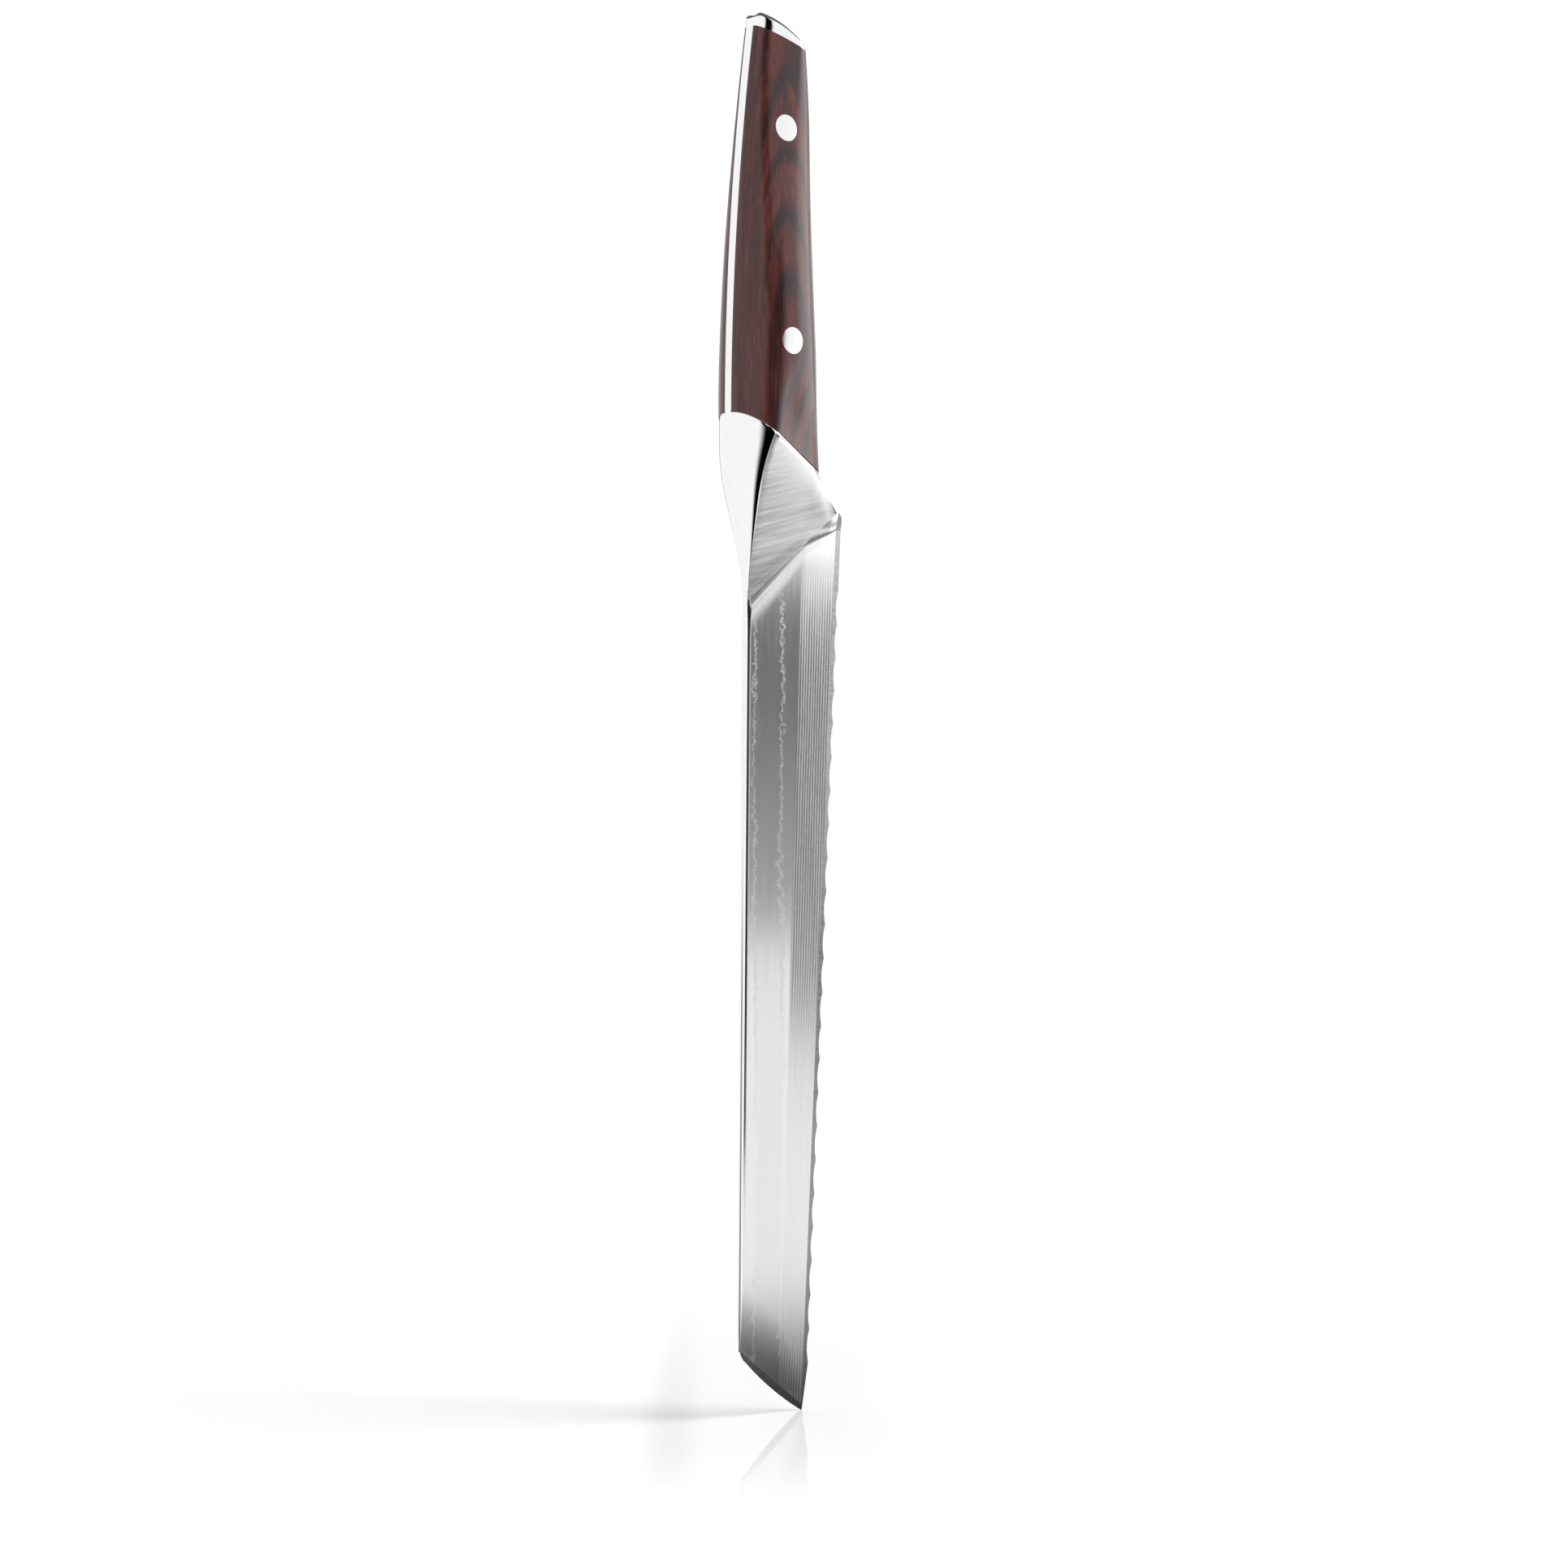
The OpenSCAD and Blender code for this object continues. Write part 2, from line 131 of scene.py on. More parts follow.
# --- outline -------------------------------------------------------------------------------------
def plate_half(z):
    return PLATE_HALF_TIP + PLATE_TAPER * z


def spine_x(z):
    if z < SHOULDER:
        return -SPINE_LEAN * (SHOULDER - z)
    if z < BACK_START:
        return -BACK_DROP * ease((z - RISE_START) / (RISE_END - RISE_START))
    return -BACK_DROP + (z - BACK_START) ** 2 / (2 * BACK_RADIUS)


def belly_x(z):
    flare = max(0.0, (FLARE_START - z) / (FLARE_START - FRONT_BELLY[1]))
    tuck = max(0.0, (z - TUCK_START) / (PLATE_LENGTH - TUCK_START))
    return BELLY_REACH + BELLY_FLARE * flare ** 2 - BUTT_TUCK * tuck ** 2


def edge_x(z):
    return EDGE_REACH + (z - LAST_TOOTH) * EDGE_FLARE


def bevel_start(z):
    return mix(spine_x(z), edge_x(z), FLAT_SHARE)


def ring_belly(z, slope):
    """X of the belly where a handle ring that starts at height z on the spine reaches it."""
    s = spine_x(z)
    x = BELLY_REACH
    for _ in range(BELLY_ROUNDS):
        x = belly_x(z - slope * (x - s))
    return x


# --- ground planes: half thickness = a + b * x + c * z -------------------------------------------
def plane_through(p, q, r):
    p, q, r = Vector(p), Vector(q), Vector(r)
    n = (q - p).cross(r - p)
    return (n.dot(p) / n.y, -n.x / n.y, -n.z / n.y)


def plane_at(plane, x, z):
    return plane[0] + plane[1] * x + plane[2] * z


FACET_TOP, FACET_HEEL = (4.1, 9.4, 265.5), (34, 0.2, 240.9)
FACET_FOOT = (0, plate_half(SHOULDER), SHOULDER)
FACET = plane_through(FACET_TOP, FACET_HEEL, FACET_FOOT)
BEVEL_TOP = 212.0
BEVEL = plane_through(
    (bevel_start(BEVEL_TOP), plate_half(BEVEL_TOP), BEVEL_TOP),
    (edge_x(BEVEL_TOP) - EDGE_BEVEL, CORE_HALF, BEVEL_TOP),
    (edge_x(LAST_TOOTH) - EDGE_BEVEL, CORE_HALF, LAST_TOOTH))
CHORD = Vector((TIP[0] - TIP_CORNER[0], TIP[1] - TIP_CORNER[1])).normalized()
INWARD = Vector((-CHORD.y, CHORD.x))
POINT = plane_through(
    (TIP[0], POINT_HALF, TIP[1]),
    (TIP_CORNER[0], POINT_HALF, TIP_CORNER[1]),
    (TIP[0] + INWARD.x * POINT_BEVEL, PLATE_HALF_TIP, TIP[1] + INWARD.y * POINT_BEVEL))

# The hollow between blade and facet: (distance from the foot line, share of the facet's slope).
# It is drawn for the spine and narrows to nothing at the heel.
HOLLOW = [(-8.5, 0.0), (-4.2, -0.15), (-3.3, -0.3), (-2.5, -0.3), (-1.5, 0.0), (1.6, 0.17),
          (2.1, 0.4), (2.3, 0.85), (2.45, 1.0), (2.7, 0.5), (4.7, 0.64), (6.9, 1.0)]
HOLLOW_APEX = 33.0
HOLLOW_LEAST = 0.06
CATCH_UP = 32.0
FACET_STEEPNESS = math.hypot(FACET[1], FACET[2] - PLATE_TAPER)


def hollow_height(q):
    """Height of the hollow's profile over the blade's face, as a sum of its slope."""
    total = 0.0
    for (q0, f0), (q1, f1) in zip(HOLLOW, HOLLOW[1:]):
        if q <= q0:
            return total * FACET_STEEPNESS
        end = min(q, q1)
        total += (end - q0) * (f0 + mix(f0, f1, (end - q0) / (q1 - q0))) / 2
    last = HOLLOW[-1][0]
    if q <= last:
        return total * FACET_STEEPNESS
    return (q - (last - total) * (1 - ease((q - last) / CATCH_UP))) * FACET_STEEPNESS


def blade_half(x, z):
    """Half thickness of the blade's ground face, with the hollow at the bolster."""
    body = min(plate_half(z) - FACE_GRIND, plane_at(BEVEL, x, z))
    above = (plane_at(FACET, x, z) - body) / FACET_STEEPNESS
    narrow = max(HOLLOW_LEAST, (HOLLOW_APEX - x) / HOLLOW_APEX)
    if above / narrow > HOLLOW[0][0]:
        body += narrow * hollow_height(above / narrow)
    return smooth_min(body, plane_at(POINT, x, z), POINT_BLEND)


FOOT_RISE = -FACET[1] / (FACET[2] - PLATE_TAPER)


# --- mesh making ---------------------------------------------------------------------------------
WELD, SLIVER = 2e-7, 1e-7
SHARP, STEEL_SHARP, CAP_SHARP = 32, 40, 50


def to_frame(point, side):
    return ((point[0] - X_MIDDLE) * MM, side * point[1] * MM, point[2] * MM)


def new_piece(name, points, faces, material, nodes, sharp_degrees=SHARP):
    mesh = bpy.data.meshes.new(name)
    mesh.from_pydata(points, [], faces)
    mesh.validate()
    fix_normals(mesh)
    mesh.polygons.foreach_set("use_smooth", [True] * len(mesh.polygons))
    mesh.set_sharp_from_angle(angle=math.radians(sharp_degrees))
    piece = bpy.data.objects.new(name, mesh)
    bpy.context.scene.collection.objects.link(piece)
    mesh.materials.append(material)
    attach(piece, "root")
    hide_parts(*nodes)
    return piece


def fix_normals(mesh):
    bm = bmesh.new()
    bm.from_mesh(mesh)
    bmesh.ops.remove_doubles(bm, verts=bm.verts, dist=WELD)
    bmesh.ops.dissolve_degenerate(bm, edges=bm.edges, dist=SLIVER)
    bmesh.ops.recalc_face_normals(bm, faces=bm.faces)
    bm.to_mesh(mesh)
    bm.free()


def grid_faces(rows, columns, start=0, close=False):
    faces = []
    for r in range(rows - 1):
        for c in range(columns if close else columns - 1):
            a = start + r * columns + c
            b = start + r * columns + (c + 1) % columns
            faces.append((a, b, b + columns, a + columns))
    return faces


def shell(rows, inner_half):
    """Points and faces of a closed solid: an outer grid, and the same grid laid on the inner face."""
    count, columns = len(rows), len(rows[0])
    outer = [p for row in rows for p in row]
    inner = [(p[0], inner_half(p), p[2]) for p in outer]
    n = len(outer)
    faces = grid_faces(count, columns)
    faces += [tuple(reversed(f)) for f in grid_faces(count, columns, n)]
    rim = [r * columns for r in range(count)]
    rim += [(count - 1) * columns + c for c in range(1, columns)]
    rim += [r * columns + columns - 1 for r in range(count - 2, -1, -1)]
    rim += range(columns - 2, 0, -1)
    for i, a in enumerate(rim):
        b = rim[(i + 1) % len(rim)]
        faces.append((a, b, b + n, a + n))
    return outer + inner, faces


def sided(points, side):
    return [to_frame(p, side) for p in points]


# --- cladding ------------------------------------------------------------------------------------
TIP_SLANT = CHORD.y / CHORD.x
CLAD_FOOT = 18.2
TIP_ROWS_END, FOOT_ROWS_START = 70, 150
SPINE_ROUND = 0.2
SPINE_ANGLES = (0, 30, 60, 90)
CREASE_HALF_WIDTH = 0.18
LEAST_CLAD = 0.0005
UNDERCUT_RUN = 0.5
FLAT_COLUMNS, BEVEL_COLUMNS = 12, 10
BLADE_BANDS = ((CLAD_FOOT, 50, 52), (50, 190, 30), (190, SHOULDER, 90))
TANG_START, TANG_ROWS = 0.001, 70


def row_slant(z):
    """Slant of a row of the cladding: along the tip, then level, then along the facet's foot."""
    if z < TIP_ROWS_END:
        return TIP_SLANT * (1 - ease((z - CLAD_FOOT) / (TIP_ROWS_END - CLAD_FOOT)))
    if z < SHOULDER:
        return FOOT_RISE * ease((z - FOOT_ROWS_START) / (SHOULDER - FOOT_ROWS_START))
    return mix(FOOT_RISE, -CAP_SLOPE, (z - SHOULDER) / (PLATE_LENGTH - SHOULDER))


def meet(left, slant, right):
    """X where the row that starts at left with that slant meets the line right(z)."""
    x = right(left[1])
    for _ in range(MEET_ROUNDS):
        x = right(left[1] + slant * (x - left[0]))
    return x


def clad_right(z):
    if z < FRONT_BELLY[1]:
        return min(edge_x(z) - EDGE_BEVEL, HEEL_SUM - z)
    return belly_x(z)


def tang_half(x, z):
    """The tang's half thickness: it steps back where a bolster cheek covers it."""
    to_wood = FRONT_HEIGHT - (z + FRONT_SLOPE * (x + BACK_DROP))
    return plate_half(z) - UNDERCUT * min(1.0, max(0.0, to_wood / UNDERCUT_RUN))


def clad_row(z, ground):
    left = (spine_x(z), z)
    slant = row_slant(z)
    right = meet(left, slant, clad_right)
    crease = meet(left, slant, bevel_start)
    half = blade_half if ground else tang_half
    xs = [left[0] + SPINE_ROUND * (1 - math.cos(math.radians(a))) for a in SPINE_ANGLES]
    flat_end = min(crease, right) - CREASE_HALF_WIDTH
    xs += steps(xs[-1], flat_end, FLAT_COLUMNS)[1:]
    xs += [flat_end + CREASE_HALF_WIDTH, flat_end + 2 * CREASE_HALF_WIDTH]
    xs += steps(xs[-1], right, BEVEL_COLUMNS)[1:]
    row = []
    for i, x in enumerate(xs):
        height = left[1] + slant * (x - left[0])
        y = half(x, height)
        if ground and i < len(SPINE_ANGLES):
            y -= SPINE_ROUND * (1 - math.sin(math.radians(SPINE_ANGLES[i])))
        row.append((x, max(y, CORE_HALF + LEAST_CLAD), height))
    return row


def cladding(side, name, node, material):
    tang_heights = [SHOULDER + TANG_START] + steps(SHOULDER, PLATE_LENGTH, TANG_ROWS)[1:]
    rows = [clad_row(z, True) for z in banded(BLADE_BANDS)]
    rows += [clad_row(z, False) for z in tang_heights]
    points, faces = shell(rows, lambda p: CORE_HALF)
    return new_piece(name, sided(points, side), faces, material, [node])


# --- handle sections -----------------------------------------------------------------------------
ROUND_STEPS = 26
FLANK_STEPS = 28


def grip_at(z):
    if z > GRIP_PEAK:
        return mix(GRIP_HALF, BUTT_HALF, ease((z - GRIP_PEAK) / GRIP_FALL))
    return GRIP_HALF - FRONT_FALL * ((GRIP_PEAK - z) / FRONT_FALL_LENGTH) ** 2


def round_part(ridge, power):
    rows = []
    for a in [math.pi / 2 * i / ROUND_STEPS for i in range(ROUND_STEPS + 1)]:
        cosine = max(0.0, math.cos(a))
        rows.append((ridge * (1 - cosine ** (2 / power)), math.sin(a) ** (2 / power)))
    return rows


def full_flank(ridge, width, power):
    rows = []
    for a in [math.pi / 2 * i / FLANK_STEPS for i in range(1, FLANK_STEPS + 1)]:
        cosine = max(0.0, math.cos(a))
        rows.append((ridge + (width - ridge) * math.sin(a) ** (2 / power), cosine ** (2 / power)))
    return rows


def flat_flank(ridge, width, low, radius):
    straight = FLANK_STEPS / 2
    rows = []
    for i in range(1, FLANK_STEPS + 1):
        if i <= straight:
            t = i / straight
            rows.append((mix(ridge, width - radius, t), mix(1, low, t)))
        else:
            a = math.pi / 2 * (i - straight) / straight
            rows.append((width - radius + radius * math.sin(a), low * max(0.0, math.cos(a))))
    return rows


def handle_section(width, wedge):
    ridge = mix(RIDGE, WEDGE_CREASE, wedge)
    back = round_part(ridge, SPINE_POWER)
    full = back + full_flank(ridge, width, BELLY_POWER)
    flat = back + flat_flank(ridge, width, WEDGE_LOW, WEDGE_RADIUS)
    return [(mix(f[0], w[0], wedge), mix(f[1], w[1], wedge)) for f, w in zip(full, flat)]


def ring_place(t):
    """Height at the spine, slope, width and peak of a handle ring."""
    z = mix(FRONT_HEIGHT, PLATE_LENGTH, t)
    slope = mix(FRONT_SLOPE, CAP_SLOPE, t)
    width = ring_belly(z, slope) - spine_x(z)
    return z, slope, width, grip_at(z - slope * RIDGE)


def handle_ring(t, lift):
    z, slope, width, peak = ring_place(t)
    ring = []
    for s, share in handle_section(width, 1 - ease(t / WEDGE_LENGTH)):
        height = z - slope * s
        base = plate_half(height) + lift
        ring.append((spine_x(z) + s, base + (peak - base) * share, height))
    return ring


def ring_parameter(x, z):
    low, high = 0.0, 1.0
    for _ in range(RING_ROUNDS):
        t = (low + high) / 2
        top, slope, _, _ = ring_place(t)
        if top - slope * (x - spine_x(top)) < z:
            low = t
        else:
            high = t
    return (low + high) / 2


def handle_half(x, z):
    """Half thickness of the handle at a place on its side."""
    ring = handle_ring(ring_parameter(x, z), BOND)
    for a, b in zip(ring, ring[1:]):
        if a[0] <= x <= b[0]:
            return mix(a[1], b[1], (x - a[0]) / max(1e-9, b[0] - a[0]))
    return ring[-1][1]


HANDLE_ROWS = 110


def scale(side, name, node, material):
    rows = [handle_ring(i / HANDLE_ROWS, BOND) for i in range(HANDLE_ROWS + 1)]
    points, faces = shell(rows, lambda p: plate_half(p[2]) + BOND)
    return new_piece(name, sided(points, side), faces, material, [node])


# --- bolster cheeks ------------------------------------------------------------------------------
CHEEK_CREASE_END, CHEEK_CREASE_LOW, CHEEK_CREASE_TRAVEL = 0.45, 0.35, 3.8
CHEEK_EDGE_RADIUS, CHEEK_EDGE_END = 1.2, 0.33
CHEEK_HEEL_X = (HEEL_SUM - SHOULDER) / (1 + FOOT_RISE)
CHEEK_BANDS = ((0, 0.06, 10), (0.06, 0.85, 60), (0.85, 1, 40))
RIM_WIDTH, RIM_DROP = 1.6, 0.14


def rim_chamfer(distance):
    """How much the polished rim beside the wood falls away."""
    return RIM_DROP * max(0.0, 1 - distance / RIM_WIDTH) ** 2


def cheek_row(t):
    z = mix(FRONT_HEIGHT, SHOULDER, t)
    heel_x = mix(FRONT_BELLY[0], CHEEK_HEEL_X, t)
    heel_z = HEEL_SUM - heel_x
    spine = spine_x(z)
    width = heel_x - spine
    slope = (z - heel_z) / width
    crease_x = CHEEK_CREASE_LOW + CHEEK_CREASE_TRAVEL * max(0.0, 1 - t / CHEEK_CREASE_END) ** 2
    crease = crease_x - spine
    radius = mix(WEDGE_RADIUS, CHEEK_EDGE_RADIUS, min(1.0, t / CHEEK_EDGE_END))
    power = mix(SPINE_POWER, 2.0, t)
    peak = blade_half(crease_x, z - slope * crease)
    section = round_part(crease, power) + flat_flank(crease, width, 1.0, radius)
    row = []
    for i, (s, share) in enumerate(section):
        x, height = spine + s, z - slope * s
        base = plate_half(height) - UNDERCUT
        reach = peak if i < ROUND_STEPS else blade_half(min(x, heel_x - radius), height)
        y = base + max(0.0, reach - base) * share
        row.append((x, max(base, y - rim_chamfer(FRONT_HEIGHT - z)), height))
    return row


def cheek(side, name, node, material):
    rows = [cheek_row(t) for t in banded(CHEEK_BANDS)]
    points, faces = shell(rows, lambda p: plate_half(p[2]) - UNDERCUT)
    return new_piece(name, sided(points, side), faces, material, [node], STEEL_SHARP)


# --- end cap -------------------------------------------------------------------------------------
CAP_LEAN = (PLATE_LENGTH - BACK_START) / BACK_RADIUS
CAP_LAYERS = 10
CAP_CROWN, CROWN_RISE, CROWN_POWER, CROWN_STEPS = 0.4, 8.0, 1.3, 12


def cap_tall(s, width):
    """Height of the cap's rim at a distance from the spine."""
    inside = CAP_SPINE_RADIUS - min(CAP_SPINE_RADIUS, max(0.0, s))
    drop = CAP_SPINE_RADIUS - math.sqrt(CAP_SPINE_RADIUS ** 2 - inside ** 2)
    fall = (1 - min(1.0, s / width) ** CAP_FALL_POWER) ** CAP_FALL_SHAPE
    return max(CAP_LOW, (CAP_HEIGHT - drop) * fall)


def lid_strip(points, near, far, crown_start):
    """Indices of points across the lid, from one rim point to its mirror image, domed between."""
    a, b = Vector(points[near]), Vector(points[far])
    strip = [near]
    for i in range(1, CROWN_STEPS):
        t = i / CROWN_STEPS
        rise = ease((a.x - crown_start) / CROWN_RISE) * ease((a - b).length / CROWN_RISE)
        dome = CAP_CROWN * rise * (4 * t * (1 - t)) ** CROWN_POWER
        points.append(tuple(a.lerp(b, t) + Vector((0, 0, dome))))
        strip.append(len(points) - 1)
    return strip + [far]


def end_cap(name, node, material):
    base = handle_ring(1, BOND)
    spine, width = spine_x(PLATE_LENGTH), base[-1][0] - spine_x(PLATE_LENGTH)
    loop = base + [(x, -y, z) for x, y, z in reversed(base)]
    layers = [(0.0, 0.0), (0.3, 0.0)]  # (share of the height, inset)
    for a in [math.pi / 2 * i / CAP_LAYERS for i in range(CAP_LAYERS + 1)]:
        layers.append((1 - CAP_ROUND / CAP_HEIGHT * (1 - math.sin(a)), CAP_ROUND * (1 - math.cos(a))))
    points = []
    for share, inset in layers:
        for x, y, _ in loop:
            s = x - spine
            tall = cap_tall(s, width)
            along = width / 2 + (s - width / 2) * (1 - 2 * inset / width)
            lean = CAP_LEAN * tall * share * (1 - 2 * s / width)
            thick = y * (1 - inset / BUTT_HALF)
            points.append((spine + along + lean, thick, PLATE_LENGTH - CAP_SLOPE * along + tall * share))
    count, columns = len(loop), len(base)
    faces = grid_faces(len(layers), count, 0, True)
    faces.append(tuple(range(count)))
    lid = (len(layers) - 1) * count
    strips = [lid_strip(points, lid + c, lid + count - 1 - c, spine + CAP_ROUND) for c in range(columns)]
    for one, two in zip(strips, strips[1:]):
        faces += [(one[i], two[i], two[i + 1], one[i + 1]) for i in range(len(one) - 1)]
    return new_piece(name, sided(points, 1), faces, material, [node], CAP_SHARP)


# --- rivets --------------------------------------------------------------------------------------
RIVET_SEGMENTS = 64
HEAD_RINGS = (0.25, 0.5, 0.75, 0.92)
HEAD_CHAMFER = 0.06
HEAD_PROUD = 0.012


def rivet(side, hollow, place, name, node, material):
    """Half a rivet: a head flush with the wood, and a shank that is a tube or a solid pin."""
    px, pz = place
    floor = plate_half(pz) + BOND + HEAD_SEAT
    end = -floor + SLEEVE_GAP
    shank = RIVET_SLEEVE if hollow else RIVET_PIN
    profile = [(share * RIVET_HEAD, 0.0, True) for share in HEAD_RINGS]
    profile += [(RIVET_HEAD - HEAD_CHAMFER, 0.0, True), (RIVET_HEAD, -HEAD_CHAMFER, True)]
    profile += [(RIVET_HEAD, floor, False), (shank, floor, False), (shank, end, False)]
    if hollow:
        profile += [(RIVET_PIN, end, False), (RIVET_PIN, floor, False)]
    points = []
    for radius, y, on_wood in profile:
        for i in range(RIVET_SEGMENTS):
            a = 2 * math.pi * i / RIVET_SEGMENTS
            x, z = px + radius * math.cos(a), pz + radius * math.sin(a)
            top = handle_half(x, z) + HEAD_PROUD + y if on_wood else y
            points.append((x, top, z))
    faces = grid_faces(len(profile), RIVET_SEGMENTS, 0, True)
    centre = len(points)
    points.append((px, handle_half(px, pz) + HEAD_PROUD, pz))
    faces += [(i, (i + 1) % RIVET_SEGMENTS, centre) for i in range(RIVET_SEGMENTS)]
    last = (len(profile) - 1) * RIVET_SEGMENTS
    faces.append(tuple(last + i for i in range(RIVET_SEGMENTS)))
    return new_piece(name, sided(points, side), faces, material, [node], STEEL_SHARP)


# --- material helpers ----------------------------------------------------------------------------
class Graph:
    """A small wrapper that adds shader nodes and links them."""

    def __init__(self, name):
        self.material = bpy.data.materials.new(name)
        self.material.use_nodes = True
        self.tree = self.material.node_tree
        self.bsdf = self.tree.nodes["Principled BSDF"]

    def add(self, kind, **settings):
        node = self.tree.nodes.new(kind)
        for key, value in settings.items():
            setattr(node, key, value)
        return node

    def put(self, socket, value):
        if isinstance(value, bpy.types.NodeSocket):
            self.tree.links.new(value, socket)
        else:
            socket.default_value = value

    def math(self, operation, a, b=0.0, c=0.0):
        node = self.add("ShaderNodeMath", operation=operation)
        for socket, value in zip(node.inputs, (a, b, c)):
            self.put(socket, value)
        return node.outputs[0]

    def position(self):
        """The object coordinates in millimetres, as three sockets."""
        scaled = self.add("ShaderNodeVectorMath", operation="SCALE")
        self.put(scaled.inputs[0], self.add("ShaderNodeTexCoord").outputs["Object"])
        scaled.inputs["Scale"].default_value = 1 / MM
        parts = self.add("ShaderNodeSeparateXYZ")
        self.put(parts.inputs[0], scaled.outputs[0])
        return parts.outputs[0], parts.outputs[1], parts.outputs[2]

    def vector(self, x, y, z):
        node = self.add("ShaderNodeCombineXYZ")
        for socket, value in zip(node.inputs, (x, y, z)):
            self.put(socket, value)
        return node.outputs[0]

    def noise(self, vector, scale, detail=2.0, rough=0.5):
        node = self.add("ShaderNodeTexNoise")
        self.put(node.inputs["Vector"], vector)
        self.put(node.inputs["Scale"], scale)
        self.put(node.inputs["Detail"], detail)
        self.put(node.inputs["Roughness"], rough)
        return node.outputs["Fac"]

    def ramp(self, value, low, high, bottom=0.0, top=1.0, smooth=True):
        node = self.add("ShaderNodeMapRange", clamp=True)
        if smooth:
            node.interpolation_type = "SMOOTHSTEP"
        for key, number in zip(("Value", "From Min", "From Max", "To Min", "To Max"),
                               (value, low, high, bottom, top)):
            self.put(node.inputs[key], number)
        return node.outputs[0]

    def colours(self, value, stops):
        node = self.add("ShaderNodeValToRGB")
        self.put(node.inputs[0], value)
        band = node.color_ramp
        while len(band.elements) < len(stops):
            band.elements.new(0.5)
        for element, (place, colour) in zip(band.elements, stops):
            element.position = place
            element.color = (*colour, 1)
        return node.outputs[0]

    def blend(self, factor, a, b):
        node = self.add("ShaderNodeMix", data_type="RGBA")
        self.put(node.inputs[0], factor)
        for socket, value in zip((node.inputs[6], node.inputs[7]), (a, b)):
            self.put(socket, (*value, 1) if isinstance(value, tuple) else value)
        return node.outputs[2]

    def mixed(self, factor, first, second):
        node = self.add("ShaderNodeMixShader")
        for socket, value in zip(node.inputs, (factor, first, second)):
            self.put(socket, value)
        return node.outputs[0]

    def finish(self, shader):
        self.put(self.tree.nodes["Material Output"].inputs[0], shader)

    def bump(self, height, strength, distance):
        node = self.add("ShaderNodeBump")
        self.put(node.inputs["Height"], height)
        node.inputs["Strength"].default_value = strength
        node.inputs["Distance"].default_value = distance
        self.put(self.bsdf.inputs["Normal"], node.outputs[0])

    def set(self, **values):
        for key, value in values.items():
            self.put(self.bsdf.inputs[key.replace("_", " ")], value)


def plane_socket(g, plane, x, z):
    """A plane's half thickness over object coordinates x and z, which count from the frame's middle."""
    first = plane[0] + plane[1] * X_MIDDLE
    return g.math("ADD", g.math("MULTIPLY_ADD", x, plane[1], first), g.math("MULTIPLY", z, plane[2]))


# --- steel ---------------------------------------------------------------------------------------
LAYER_SPACING = 0.068
CONTOUR_MIDDLE, CONTOUR_REACH = 7.4, 4.4
INNER_TONE, OUTER_TONE = (0.79, 0.792, 0.795), (0.83, 0.831, 0.834)
LAYER_TONE, CONTOUR_TONE = (0.93, 0.93, 0.932), (0.98, 0.98, 0.98)
MARK_TONE = (0.85, 0.853, 0.858)
# Painted dark reflection: the core's two greys are set dark so that the teeth come out dark, as a dark
# reflection makes them; the grinding marks between the two greys are real.
CORE_REFLECTION_DARK, CORE_REFLECTION_LIGHT = (0.3, 0.303, 0.308), (0.42, 0.422, 0.426)
SATIN_DARK, SATIN_LIGHT = (0.74, 0.742, 0.746), (0.86, 0.86, 0.863)
MIRROR_DARK, MIRROR_LIGHT = (0.905, 0.907, 0.91), (0.93, 0.93, 0.932)
MARKS_PER_MM, CORE_MARKS_PER_MM = 2.6, 5.0
LAYER_SHARE, CONTOUR_SHARE, MARK_SHARE = 0.8, 0.85, 0.25
CLAD_ROUGH, CORE_ROUGH = (0.10, 0.16), (0.24, 0.34)
POLISH_ROUGH, RIVET_ROUGH = 0.06, 0.14
# Bumps, as (strength, distance in metres)
CLAD_BUMP, CORE_BUMP = (0.03, 0.00003), (0.12, 0.00003)
FACET_BUMP, POLISH_BUMP = (0.12, 0.00004), (0.05, 0.00002)


def brushed(g, across, along, fine, seed=5.0):
    """Grinding marks: noise that is fine across and long along."""
    fine_marks = g.noise(g.vector(g.math("MULTIPLY", across, fine), seed,
                                  g.math("MULTIPLY", along, 0.05)), 1.0, 3.0, 0.7)
    coarse_marks = g.noise(g.vector(g.math("MULTIPLY", across, fine * 0.22), seed + 4,
                                    g.math("MULTIPLY", along, 0.03)), 1.0, 2.0)
    return g.math("ADD", g.math("MULTIPLY", fine_marks, 0.6), g.math("MULTIPLY", coarse_marks, 0.4))


def bevel_layers(g, x, sunk, z):
    """Layers of the cladding that the long bevel cuts open, one line for each layer."""
    drift = g.noise(g.vector(g.math("MULTIPLY", x, 0.13), 3.0, g.math("MULTIPLY", z, 0.02)), 1.0, 2.0)
    jag = g.noise(g.vector(g.math("MULTIPLY", x, 0.5), 7.0, g.math("MULTIPLY", z, 0.3)), 1.0, 4.0, 0.65)
    lifted = g.math("MULTIPLY_ADD", drift, 0.06, sunk)
    lifted = g.math("MULTIPLY_ADD", jag, 0.022, lifted)
    phase = g.math("FRACT", g.math("DIVIDE", lifted, LAYER_SPACING))
    away = g.math("ABSOLUTE", g.math("SUBTRACT", phase, 0.5))
    return g.ramp(away, 0.1, 0.45)


